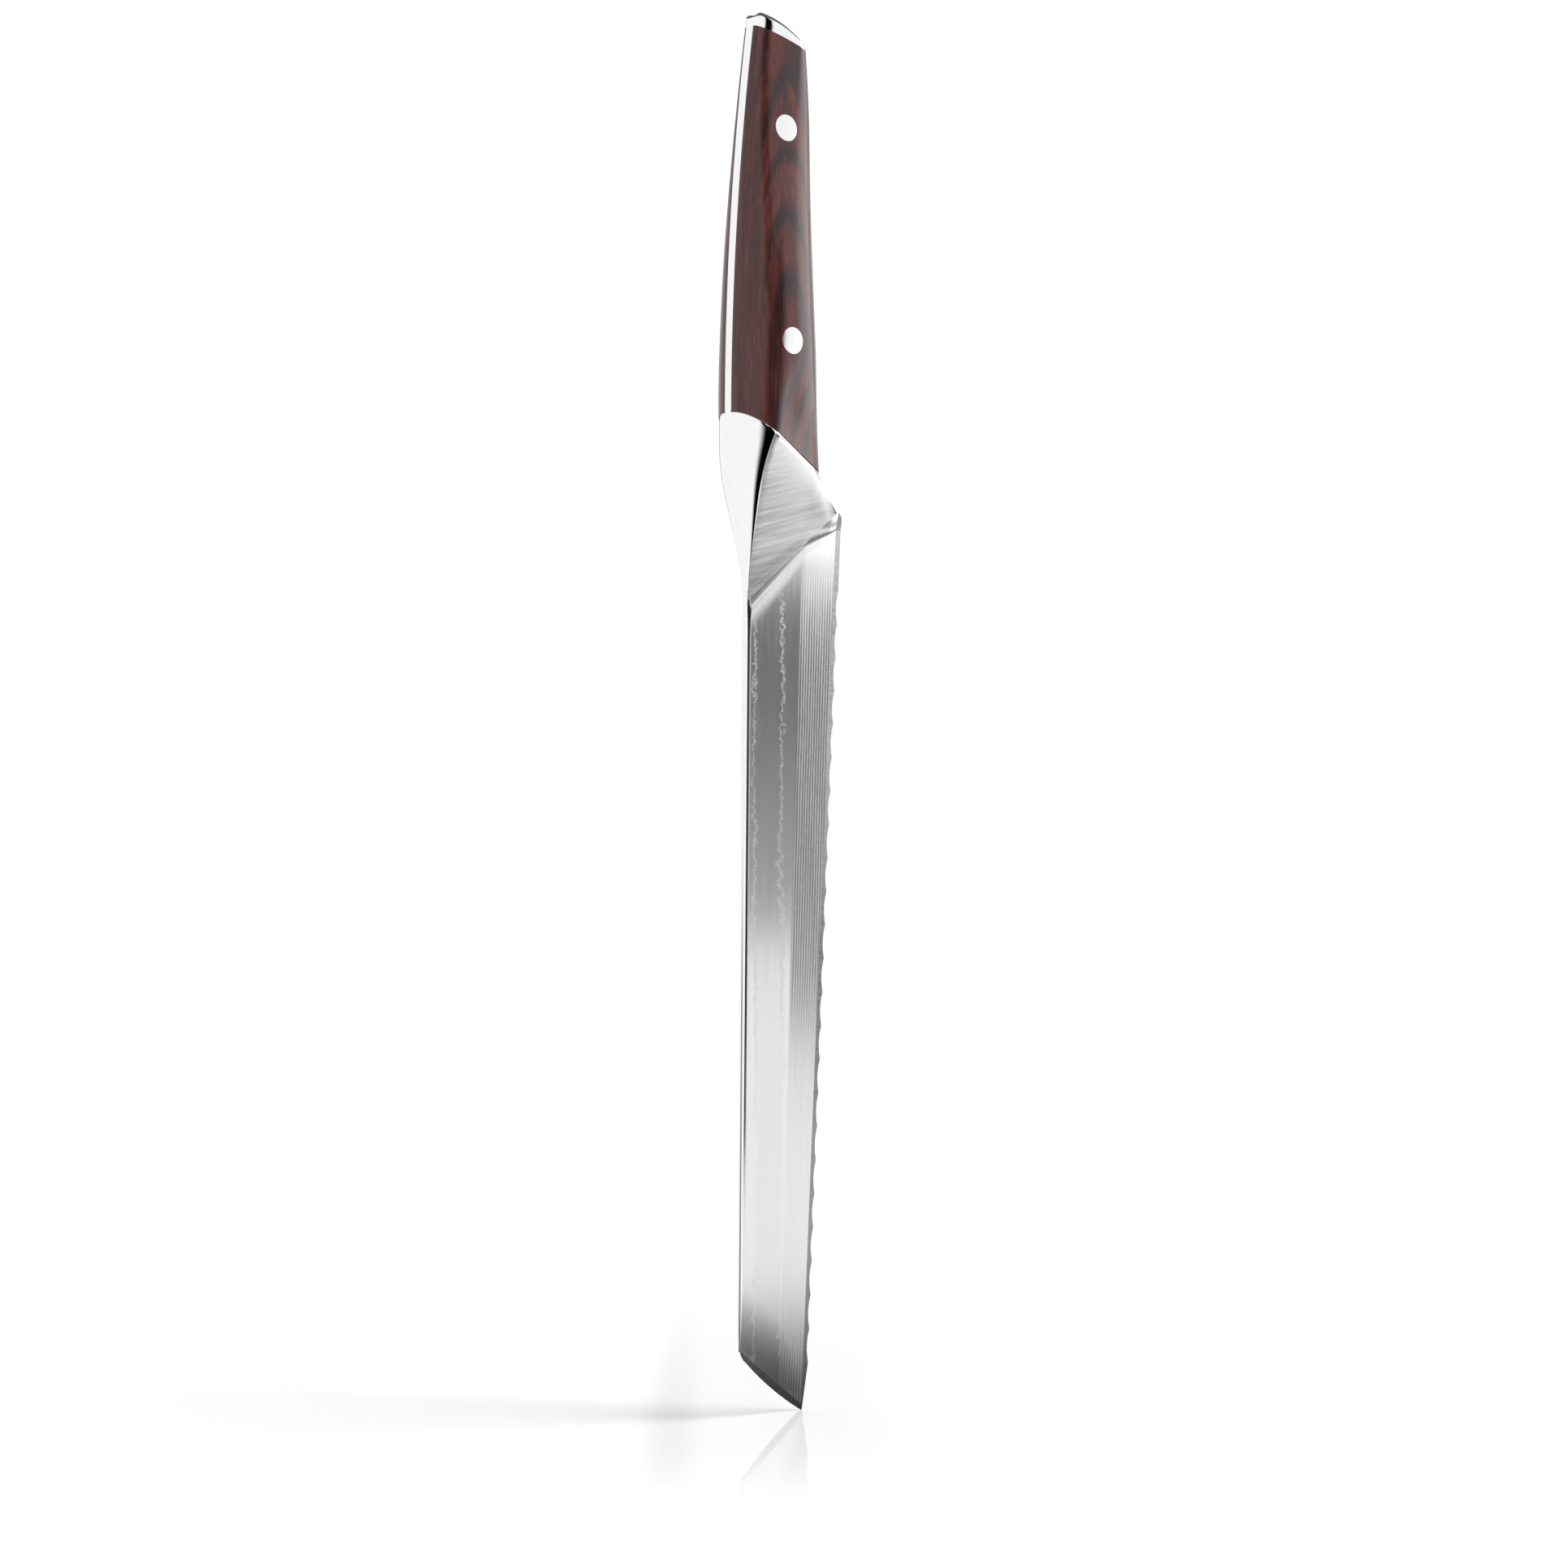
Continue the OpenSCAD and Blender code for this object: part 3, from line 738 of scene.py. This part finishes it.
def flat_contours(g, x, z):
    """The one layer that the flat grinding just breaks through: two jagged outlines along it."""
    wander = g.noise(g.vector(g.math("MULTIPLY", x, 0.1), 1.0, g.math("MULTIPLY", z, 0.014)), 1.0, 2.0)
    jag = g.noise(g.vector(g.math("MULTIPLY", x, 0.3), 2.0, g.math("MULTIPLY", z, 0.4)), 1.0, 5.0, 0.75)
    side = g.math("ABSOLUTE", g.math("SUBTRACT", x, CONTOUR_MIDDLE - X_MIDDLE))
    level = g.math("MULTIPLY_ADD", g.math("SUBTRACT", wander, 0.5), 5.0, side)
    level = g.math("MULTIPLY_ADD", g.math("SUBTRACT", jag, 0.5), 7.0, level)
    away = g.math("SUBTRACT", level, CONTOUR_REACH)
    line = g.math("MULTIPLY", g.ramp(away, -0.15, 0.1), g.ramp(away, 1.1, 0.1))
    return line, g.ramp(away, -0.3, 0.3)


def polished_share(g, x, z):
    """1 on the polished handle part of the plate and along the spine, 0 on the blade."""
    foot = g.math("MULTIPLY_ADD", x, -FOOT_RISE, z)
    handle = g.ramp(foot, SHOULDER + FOOT_RISE * X_MIDDLE, SHOULDER + FOOT_RISE * X_MIDDLE + 0.6)
    inside = g.math("MULTIPLY_ADD", z, -SPINE_LEAN, g.math("ADD", x, X_MIDDLE + SPINE_LEAN * SHOULDER))
    return g.math("MAXIMUM", handle, g.ramp(inside, 0.2, 0.1))


def mirror_tone(g, x, y, z):
    """Smears on polished steel: their strength, and the tone that they give."""
    smear = g.ramp(g.noise(g.vector(x, y, z), 0.4, 4.0, 0.6), 0.3, 0.7)
    return smear, g.blend(smear, MIRROR_DARK, MIRROR_LIGHT)


def damascus_steel(name):
    """Cladding: contours on the flat, layer lines on the long bevel, a mirror on tang and spine."""
    g = Graph(name)
    x, y, z = g.position()
    depth = g.math("ABSOLUTE", y)
    face = g.math("MULTIPLY_ADD", z, PLATE_TAPER, PLATE_HALF_TIP - FACE_GRIND)
    sunk = g.math("SUBTRACT", face, plane_socket(g, BEVEL, x, z))
    on_bevel = g.ramp(sunk, 0.004, 0.03)
    lines = g.math("MULTIPLY", bevel_layers(g, x, sunk, z), on_bevel)
    facet = plane_socket(g, FACET, x, z)
    below_foot = g.ramp(g.math("SUBTRACT", depth, facet), 0.6, 2.6)
    contour, outside = flat_contours(g, x, z)
    flat = g.math("MULTIPLY", g.math("SUBTRACT", 1.0, on_bevel), below_foot)
    lines = g.math("MULTIPLY", lines, below_foot)
    contour = g.math("MULTIPLY", contour, flat)
    marks = brushed(g, x, z, MARKS_PER_MM)
    polish = polished_share(g, x, z)
    _, mirror = mirror_tone(g, x, y, z)
    tone = g.blend(g.math("MULTIPLY", outside, flat), INNER_TONE, OUTER_TONE)
    tone = g.blend(g.math("MULTIPLY", lines, LAYER_SHARE), tone, LAYER_TONE)
    tone = g.blend(g.math("MULTIPLY", contour, CONTOUR_SHARE), tone, CONTOUR_TONE)
    tone = g.blend(g.ramp(marks, 0.3, 0.7, 0.0, MARK_SHARE), tone, MARK_TONE)
    g.set(Base_Color=g.blend(polish, tone, mirror), Metallic=1.0)
    rough = g.math("ADD", g.ramp(marks, 0.3, 0.7, *CLAD_ROUGH),
                   g.math("MULTIPLY", g.math("ADD", lines, contour), 0.14))
    g.set(Roughness=g.math("MULTIPLY_ADD", polish, -0.06, rough))
    height = g.math("ADD", g.math("MULTIPLY", marks, 0.5), g.math("MULTIPLY", lines, 0.35))
    g.bump(g.math("MULTIPLY", height, g.math("SUBTRACT", 1.0, polish)), *CLAD_BUMP)
    return g.material


def core_steel(name):
    """The hard core: cross-ground at the teeth, where its dark grey is painted dark reflection, and
    polished on tang and spine.
    """
    g = Graph(name)
    x, y, z = g.position()
    polish = polished_share(g, x, z)
    _, mirror = mirror_tone(g, x, y, z)
    marks = brushed(g, g.math("ADD", z, y), x, CORE_MARKS_PER_MM)
    # Painted dark reflection in the core's grey, with real grinding marks between its two tones
    tone = g.blend(g.ramp(marks, 0.3, 0.7), CORE_REFLECTION_DARK, CORE_REFLECTION_LIGHT)
    g.set(Base_Color=g.blend(polish, tone, mirror), Metallic=1.0)
    g.set(Roughness=g.math("MULTIPLY_ADD", polish, -0.08, g.ramp(marks, 0.3, 0.7, *CORE_ROUGH)))
    g.bump(g.math("MULTIPLY", marks, g.math("SUBTRACT", 1.0, polish)), *CORE_BUMP)
    return g.material


CREASE_START, CREASE_TOP = 247.8, 264.7
MARK_SLANT = 0.24


def facet_share(g, x, z):
    """1 on the flat brushed facet of a bolster cheek, 0 on its rounded spine part."""
    rise = g.ramp(z, CREASE_START, CREASE_TOP, 0.0, 1.0, False)
    crease = g.math("MULTIPLY_ADD", g.math("MULTIPLY", rise, rise), CHEEK_CREASE_TRAVEL,
                    CHEEK_CREASE_LOW - X_MIDDLE)
    return g.ramp(g.math("SUBTRACT", x, crease), -0.05, 0.15)


def bolster_steel(name):
    """Satin on the facet, a mirror on the rounded spine part, the rim by the wood and the heel."""
    g = Graph(name)
    x, y, z = g.position()
    spine_side = g.math("ADD", x, X_MIDDLE + BACK_DROP)
    rim = g.math("SUBTRACT", FRONT_HEIGHT, g.math("MULTIPLY_ADD", spine_side, FRONT_SLOPE, z))
    heel = g.math("SUBTRACT", HEEL_SUM - X_MIDDLE, g.math("ADD", x, z))
    satin = g.math("MULTIPLY", facet_share(g, x, z),
                   g.math("MULTIPLY", g.ramp(rim, 1.3, 1.8), g.ramp(heel, 1.6, 3.6)))
    slanted = g.math("MULTIPLY_ADD", x, -MARK_SLANT, z)
    marks = brushed(g, slanted, x, MARKS_PER_MM, 11.0)
    streak = g.ramp(marks, 0.3, 0.7)
    satin_tone = g.blend(streak, SATIN_DARK, SATIN_LIGHT)
    smear, mirror = mirror_tone(g, x, y, z)
    g.set(Base_Color=g.blend(satin, mirror, satin_tone), Metallic=1.0)
    satin_rough = g.math("MULTIPLY_ADD", streak, 0.12, 0.19)
    g.set(Roughness=g.math("ADD", g.math("MULTIPLY", satin_rough, satin),
                           g.math("MULTIPLY", g.math("MULTIPLY_ADD", smear, 0.02, 0.05),
                                  g.math("SUBTRACT", 1.0, satin))))
    g.bump(g.math("MULTIPLY", marks, satin), *FACET_BUMP)
    return g.material


def polished_steel(name, rough=POLISH_ROUGH):
    g = Graph(name)
    x, y, z = g.position()
    smear, mirror = mirror_tone(g, x, y, z)
    hair = g.noise(g.vector(x, g.math("MULTIPLY", y, 6.0), g.math("MULTIPLY", z, 0.6)), 2.2, 3.0)
    g.set(Base_Color=mirror, Metallic=1.0, Roughness=g.math("MULTIPLY_ADD", smear, 0.04, rough))
    g.bump(hair, *POLISH_BUMP)
    return g.material


# --- wood and adhesive ---------------------------------------------------------------------------
VENEER, DARK_PHASE = 1.38, 0.797
WAVE_SHIFT, FIBRE_SHIFT, PORE_SHARE = 0.55, 0.75, 0.55
WOOD_BUMP, GLUE_BUMP = (0.2, 0.00004), (0.2, 0.00003)
WOOD_TONES = [(0.0, (0.022, 0.007, 0.007)), (0.4, (0.055, 0.014, 0.013)),
              (0.7, (0.1, 0.024, 0.02)), (1.0, (0.16, 0.042, 0.031))]
DARK_VENEER, PORE_TONE = (0.013, 0.009, 0.011), (0.014, 0.007, 0.006)
GLUE_DARK, GLUE_LIGHT = (0.012, 0.010, 0.009), (0.04, 0.032, 0.028)


def layered_wood(name):
    """Resin-filled veneers that lie parallel to the tang, so the rounded side cuts them into arches."""
    g = Graph(name)
    x, y, z = g.position()
    depth = g.math("ABSOLUTE", y)
    wave = g.noise(g.vector(g.math("MULTIPLY", x, 0.16), y, g.math("MULTIPLY", z, 0.03)), 1.0, 2.0)
    fibre = g.noise(g.vector(g.math("MULTIPLY", x, 2.6), g.math("MULTIPLY", y, 2.6),
                             g.math("MULTIPLY", z, 0.09)), 1.0, 4.0, 0.65)
    bent = g.math("MULTIPLY_ADD", g.math("SUBTRACT", wave, 0.5), WAVE_SHIFT, depth)
    bent = g.math("MULTIPLY_ADD", g.math("SUBTRACT", fibre, 0.5), FIBRE_SHIFT, bent)
    phase = g.math("FRACT", g.math("ADD", g.math("DIVIDE", bent, VENEER), 0.5 - DARK_PHASE))
    away = g.math("SUBTRACT", phase, 0.5)
    dark = g.math("MULTIPLY", g.ramp(away, -0.26, -0.02), g.ramp(away, 0.3, 0.04))
    patch = g.noise(g.vector(g.math("MULTIPLY", x, 0.3), g.math("MULTIPLY", y, 0.9),
                             g.math("MULTIPLY", z, 0.02)), 1.0, 2.0)
    shade = g.math("MULTIPLY_ADD", g.math("SUBTRACT", fibre, 0.5), 1.5,
                   g.math("MULTIPLY_ADD", g.math("SUBTRACT", patch, 0.5), 1.0, 0.5))
    across = g.math("ADD", x, X_MIDDLE)
    dark = g.math("MULTIPLY", dark, g.ramp(across, -1.0, 5.0, 0.3, 0.82))
    tone = g.blend(dark, g.colours(shade, WOOD_TONES), DARK_VENEER)
    pores = g.noise(g.vector(g.math("MULTIPLY", x, 6.0), g.math("MULTIPLY", y, 6.0),
                             g.math("MULTIPLY", z, 0.35)), 1.0, 2.0, 0.8)
    pore = g.ramp(pores, 0.6, 0.72)
    tone = g.blend(g.math("MULTIPLY", pore, PORE_SHARE), tone, PORE_TONE)
    g.set(Base_Color=tone, Roughness=g.math("MULTIPLY_ADD", fibre, 0.14, 0.18),
          Specular_IOR_Level=0.28, Coat_Weight=0.5, Coat_Roughness=0.12)
    grooves = g.math("SUBTRACT", g.math("MULTIPLY", fibre, 0.5), g.math("MULTIPLY", pore, 0.7))
    g.bump(grooves, *WOOD_BUMP)
    return g.material


def adhesive(name):
    g = Graph(name)
    x, y, z = g.position()
    grain = g.noise(g.vector(x, y, z), 2.0, 3.0)
    g.set(Base_Color=g.blend(grain, GLUE_DARK, GLUE_LIGHT),
          Roughness=g.ramp(grain, 0.3, 0.7, 0.45, 0.65))
    g.bump(grain, *GLUE_BUMP)
    return g.material


def clothe_node(node, material):
    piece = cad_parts[node]
    piece.data.materials.clear()
    piece.data.materials.append(material)


# --- studio --------------------------------------------------------------------------------------
CAMERA_AT = (-0.5846, -0.6962, 0.1705)
CAMERA_TURN = 40.0
LENS, SENSOR = 76.9, 36.0
CLIP_NEAR, CLIP_FAR = 0.01, 50.0


def make_camera():
    data = bpy.data.cameras.new("camera")
    data.lens = LENS
    data.sensor_width = SENSOR
    data.clip_start, data.clip_end = CLIP_NEAR, CLIP_FAR
    camera = bpy.data.objects.new("camera", data)
    camera.location = CAMERA_AT
    camera.rotation_euler = (math.radians(90), 0, math.radians(-CAMERA_TURN))
    bpy.context.scene.collection.objects.link(camera)
    bpy.context.scene.camera = camera


DIFFUSE_WORLD = 0.65


def make_world():
    """A white studio, a little dimmer for diffuse light so that the key light can shape things."""
    world = bpy.data.worlds.new("studio")
    world.use_nodes = True
    tree = world.node_tree
    background = tree.nodes["Background"]
    background.inputs[0].default_value = (1, 1, 1, 1)
    path = tree.nodes.new("ShaderNodeLightPath")
    dim = tree.nodes.new("ShaderNodeMapRange")
    dim.inputs["To Min"].default_value = 1.0
    dim.inputs["To Max"].default_value = DIFFUSE_WORLD
    tree.links.new(path.outputs["Is Diffuse Ray"], dim.inputs["Value"])
    tree.links.new(dim.outputs[0], background.inputs[1])
    bpy.context.scene.world = world
    bpy.context.scene.view_settings.view_transform = "Standard"


FLOOR_SIZE = 12.0
PAPER_DARK, PAPER_LIGHT = (0.79, 0.79, 0.79), (0.81, 0.81, 0.81)
# The paper's own glow and the one that mirrored rays meet: (near, far, strength near, strength far)
PAPER_GLOW = (0.05, 0.6, 0.28, 0.6)
MIRRORED_GLOW = (0.01, 0.28, 0.08, 1.0)
# Where the faint mirror fades out, aside of the knife and towards the camera
SHEEN_ASIDE, SHEEN_NEAR = (0.045, 0.02), (0.155, 0.02)
SHEEN, SHEEN_ROUGH = 0.3, 0.02


def floor_material():
    """White paper: a faint mirror just before the knife, and a glow that the blade reflects."""
    g = Graph("floor_paper")
    coords = g.add("ShaderNodeTexCoord").outputs["Object"]
    turned = g.add("ShaderNodeVectorRotate", rotation_type="Z_AXIS")
    g.put(turned.inputs["Vector"], coords)
    turned.inputs["Angle"].default_value = math.radians(CAMERA_TURN)
    parts = g.add("ShaderNodeSeparateXYZ")
    g.put(parts.inputs[0], turned.outputs[0])
    aside = g.math("ABSOLUTE", parts.outputs[0])
    near = g.math("MULTIPLY", parts.outputs[1], -1.0)
    away = g.add("ShaderNodeVectorMath", operation="LENGTH")
    g.put(away.inputs[0], coords)
    grain = g.noise(coords, 40.0, 3.0)
    g.set(Base_Color=g.blend(grain, PAPER_DARK, PAPER_LIGHT), Roughness=1.0,
          Specular_IOR_Level=0.0, Emission_Color=(1, 1, 1, 1),
          Emission_Strength=g.ramp(away.outputs["Value"], *PAPER_GLOW))
    mirror = g.add("ShaderNodeBsdfGlossy")
    mirror.inputs["Roughness"].default_value = SHEEN_ROUGH
    glow = g.add("ShaderNodeEmission")
    g.put(glow.inputs[1], g.ramp(away.outputs["Value"], *MIRRORED_GLOW))
    sheen = g.math("MULTIPLY", g.ramp(aside, *SHEEN_ASIDE), g.ramp(near, *SHEEN_NEAR))
    top = g.mixed(g.math("MULTIPLY", sheen, SHEEN), g.bsdf.outputs[0], mirror.outputs[0])
    glossy = g.add("ShaderNodeLightPath").outputs["Is Glossy Ray"]
    g.finish(g.mixed(glossy, top, glow.outputs[0]))
    return g.material


def make_floor():
    half = FLOOR_SIZE / 2
    mesh = bpy.data.meshes.new("floor")
    corners = [(-half, -half, 0), (half, -half, 0), (half, half, 0), (-half, half, 0)]
    mesh.from_pydata(corners, [], [(0, 1, 2, 3)])
    mesh.materials.append(floor_material())
    floor = bpy.data.objects.new("floor", mesh)
    bpy.context.scene.collection.objects.link(floor)


CARD_SEGMENTS = 24
LEAST_EDGE = 0.001
GLOW_FOOT, GLOW_TOP = 0.15, 0.75


def card_material(name, glows, edges):
    """Emission that runs from glows[0] at the foot to glows[1] at the top, with four soft edges."""
    g = Graph(name)
    u = g.add("ShaderNodeSeparateXYZ")
    g.put(u.inputs[0], g.add("ShaderNodeTexCoord").outputs["UV"])
    across, up = u.outputs[0], u.outputs[1]
    soft = [max(edge, LEAST_EDGE) for edge in edges]
    sides = g.math("MULTIPLY", g.ramp(across, 0.0, soft[0]), g.ramp(across, 1.0, 1.0 - soft[1]))
    ends = g.math("MULTIPLY", g.ramp(up, 0.0, soft[2]), g.ramp(up, 1.0, 1.0 - soft[3]))
    glow = g.add("ShaderNodeEmission")
    g.put(glow.inputs[1], g.ramp(up, GLOW_FOOT, GLOW_TOP, *glows))
    clear = g.add("ShaderNodeBsdfTransparent")
    g.finish(g.mixed(g.math("MULTIPLY", sides, ends), clear.outputs[0], glow.outputs[0]))
    return g.material


def make_card(name, turn, heights, glows, edges, radius, top_radius=None):
    """A curved card round the knife that only reflections see. turn is degrees from +X towards +Y."""
    count, radii = CARD_SEGMENTS, (radius, top_radius or radius)
    points, faces, uvs = [], [], []
    for i in range(count + 1):
        a = math.radians(mix(turn[0], turn[1], i / count))
        for reach, level in zip(radii, heights):
            points.append((reach * math.cos(a), reach * math.sin(a), level))
    for i in range(count):
        faces.append((2 * i, 2 * i + 2, 2 * i + 3, 2 * i + 1))
        uvs += [(i / count, 0), ((i + 1) / count, 0), ((i + 1) / count, 1), (i / count, 1)]
    mesh = bpy.data.meshes.new(name)
    mesh.from_pydata(points, [], faces)
    layer = mesh.uv_layers.new(name="UVMap")
    for loop, uv in zip(layer.data, uvs):
        loop.uv = uv
    mesh.materials.append(card_material(name, glows, edges))
    card = bpy.data.objects.new(name, mesh)
    card.visible_camera = False
    card.visible_shadow = False
    card.visible_diffuse = False
    card.visible_transmission = False
    bpy.context.scene.collection.objects.link(card)


def make_cards():
    """Each card's turn in degrees, its heights in metres, its glow at foot and top, the widths of
    its soft edges (first side, last side, foot, top, as shares of the card) and its radius."""
    make_card("black_low", (250, 302), (-0.01, 0.38), (0.0, 0.0), (0.5, 0.03, 0.01, 0.1), 0.60)
    make_card("black_middle", (256, 304), (0.33, 0.50), (0.0, 0.0), (0.4, 0.08, 0.2, 0.1), 0.59)
    make_card("black_high", (264, 285), (0.46, 1.0), (0.0, 0.0), (0.3, 0.12, 0.08, 0.05), 0.60)
    make_card("grey_flat", (303, 315), (0.088, 0.275), (0.38, 0.16), (0.1, 0.1, 0.14, 0.1), 0.62)
    make_card("grey_bevel", (313, 328), (0.040, 0.275), (0.28, 0.17), (0.1, 0.3, 0.14, 0.12), 0.63)
    make_card("grey_edge", (321, 336), (0.185, 0.275), (0.25, 0.15), (0.1, 0.12, 0.15, 0.14), 0.625)
    make_card("grey_low", (321, 338), (0.02, 0.13), (0.3, 0.08), (0.1, 0.12, 0.1, 0.15), 0.625)
    make_card("soft_box", (316, 358), (0.10, 0.62), (2.8, 2.8), (0.25, 0.1, 0.12, 0.1), 0.64)
    make_card("flag_left", (53, 76), (0.0, 1.2), (0.02, 0.02), (0.1, 0.5, 0.05, 0.05), 0.66)
    make_card("flag_right", (16, 47), (0.45, 1.2), (0.1, 0.1), (0.5, 0.1, 0.15, 0.05), 0.66)
    make_card("flag_back", (12, 88), (0.46, 2.0), (0.12, 0.12), (0.2, 0.2, 0.02, 0.05), 0.68)
    make_card("flag_top", (310, 380), (0.60, 1.2), (0.12, 0.12), (0.2, 0.1, 0.1, 0.05), 0.67)
    make_card("hood", (0, 360), (0.95, 1.3), (0.12, 0.12), (0.0, 0.0, 0.1, 0.0), 0.9, 0.01)


KEY_AT, KEY_AIM = (0.62, -0.50, 1.1), (0, 0, 0.05)
KEY_SIZE, KEY_ENERGY = 0.5, 8.0


def make_light():
    data = bpy.data.lights.new("key", "AREA")
    data.shape = "RECTANGLE"
    data.size, data.size_y = KEY_SIZE, KEY_SIZE
    data.energy = KEY_ENERGY
    light = bpy.data.objects.new("key", data)
    light.location = KEY_AT
    light.rotation_euler = (Vector(KEY_AIM) - Vector(KEY_AT)).to_track_quat("-Z", "Y").to_euler()
    light.visible_glossy = False
    bpy.context.scene.collection.objects.link(light)


# --- everything ----------------------------------------------------------------------------------
def build_knife():
    damascus = damascus_steel("layered_steel")
    core = core_steel("hard_core_steel")
    bolster = bolster_steel("bolster_steel")
    polish = polished_steel("polished_steel")
    rivet_metal = polished_steel("rivet_steel", RIVET_ROUGH)
    wood = layered_wood("layered_wood")
    glue = adhesive("adhesive")
    clothe_node("blade_core", core)
    clothe_node("bond_left", glue)
    clothe_node("bond_right", glue)
    for side, word in ((-1, "left"), (1, "right")):
        cladding(side, f"blade_face_{word}", f"cladding_{word}", damascus)
        cheek(side, f"bolster_cheek_{word}", f"bolster_{word}", bolster)
        scale(side, f"wood_scale_{word}", f"scale_{word}", wood)
    end_cap("butt_cap", "end_cap", polish)
    for word, place in RIVETS.items():
        rivet(-1, True, place, f"{word}_rivet_tube", f"{word}_rivet_sleeve", rivet_metal)
        rivet(1, False, place, f"{word}_rivet_core", f"{word}_rivet_pin", rivet_metal)


make_camera()
make_world()
build_knife()
make_floor()
make_cards()
make_light()
